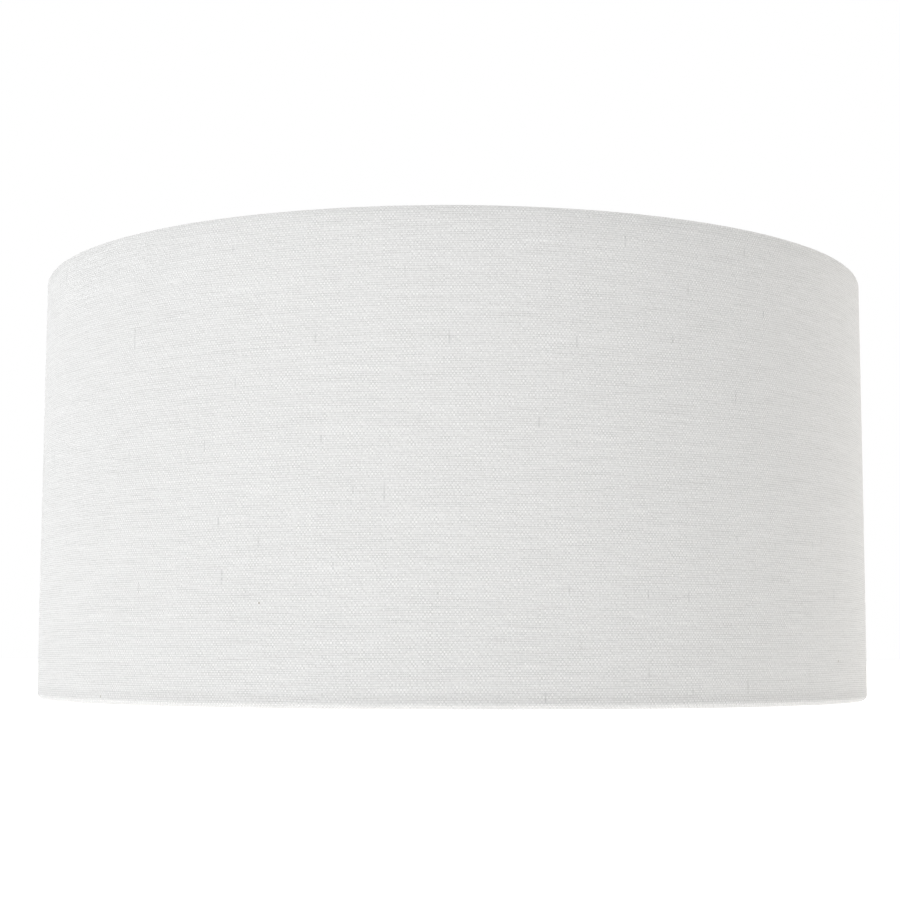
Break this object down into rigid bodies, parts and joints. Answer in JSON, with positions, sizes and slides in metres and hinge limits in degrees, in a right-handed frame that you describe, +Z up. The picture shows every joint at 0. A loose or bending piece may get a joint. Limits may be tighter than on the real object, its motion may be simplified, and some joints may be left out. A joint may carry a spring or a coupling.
{
  "type": "drum lamp shade",
  "caption": "Straight-sided drum lamp shade in plain-weave cloth on a stiff panel, rolled over wire rings, with a recessed wire carrier and a reducer ring.",
  "frame": {"origin": "centre of the circle that the lower rim stands on", "axes": "+Z up along the drum's axis, towards the rim with the carrier; +Y towards the lap seam and carrier_arm_1"},
  "size_m": [0.4, 0.4008, 0.2],
  "materials": {
    "linen": "off-white plain-weave linen, matt, with slubs",
    "backing": "white flame-retardant PVC lampshade panel, satin",
    "coated_wire": "steel with a white epoxy powder coat",
    "adhesive_tape": "translucent double-sided tape",
    "reducer_plastic": "white moulded heat-resistant plastic"
  },
  "bodies": {
    "shade": {"linen_cover": "linen", "backing_panel": "backing", "seam_tape": "adhesive_tape", "upper_ring": "coated_wire", "lower_ring": "coated_wire", "upper_ring_tape": "adhesive_tape", "lower_ring_tape": "adhesive_tape", "carrier_arm_1": "coated_wire", "carrier_arm_2": "coated_wire", "carrier_arm_3": "coated_wire", "fitter_ring": "coated_wire"},
    "reducer": {"reducer_ring": "reducer_plastic"}
  },
  "joints": [
    {"name": "reducer_lift", "type": "slide", "parent": "shade", "child": "reducer", "axis": [0, 0, 1], "range_m": [0, 0.04]}
  ]
}
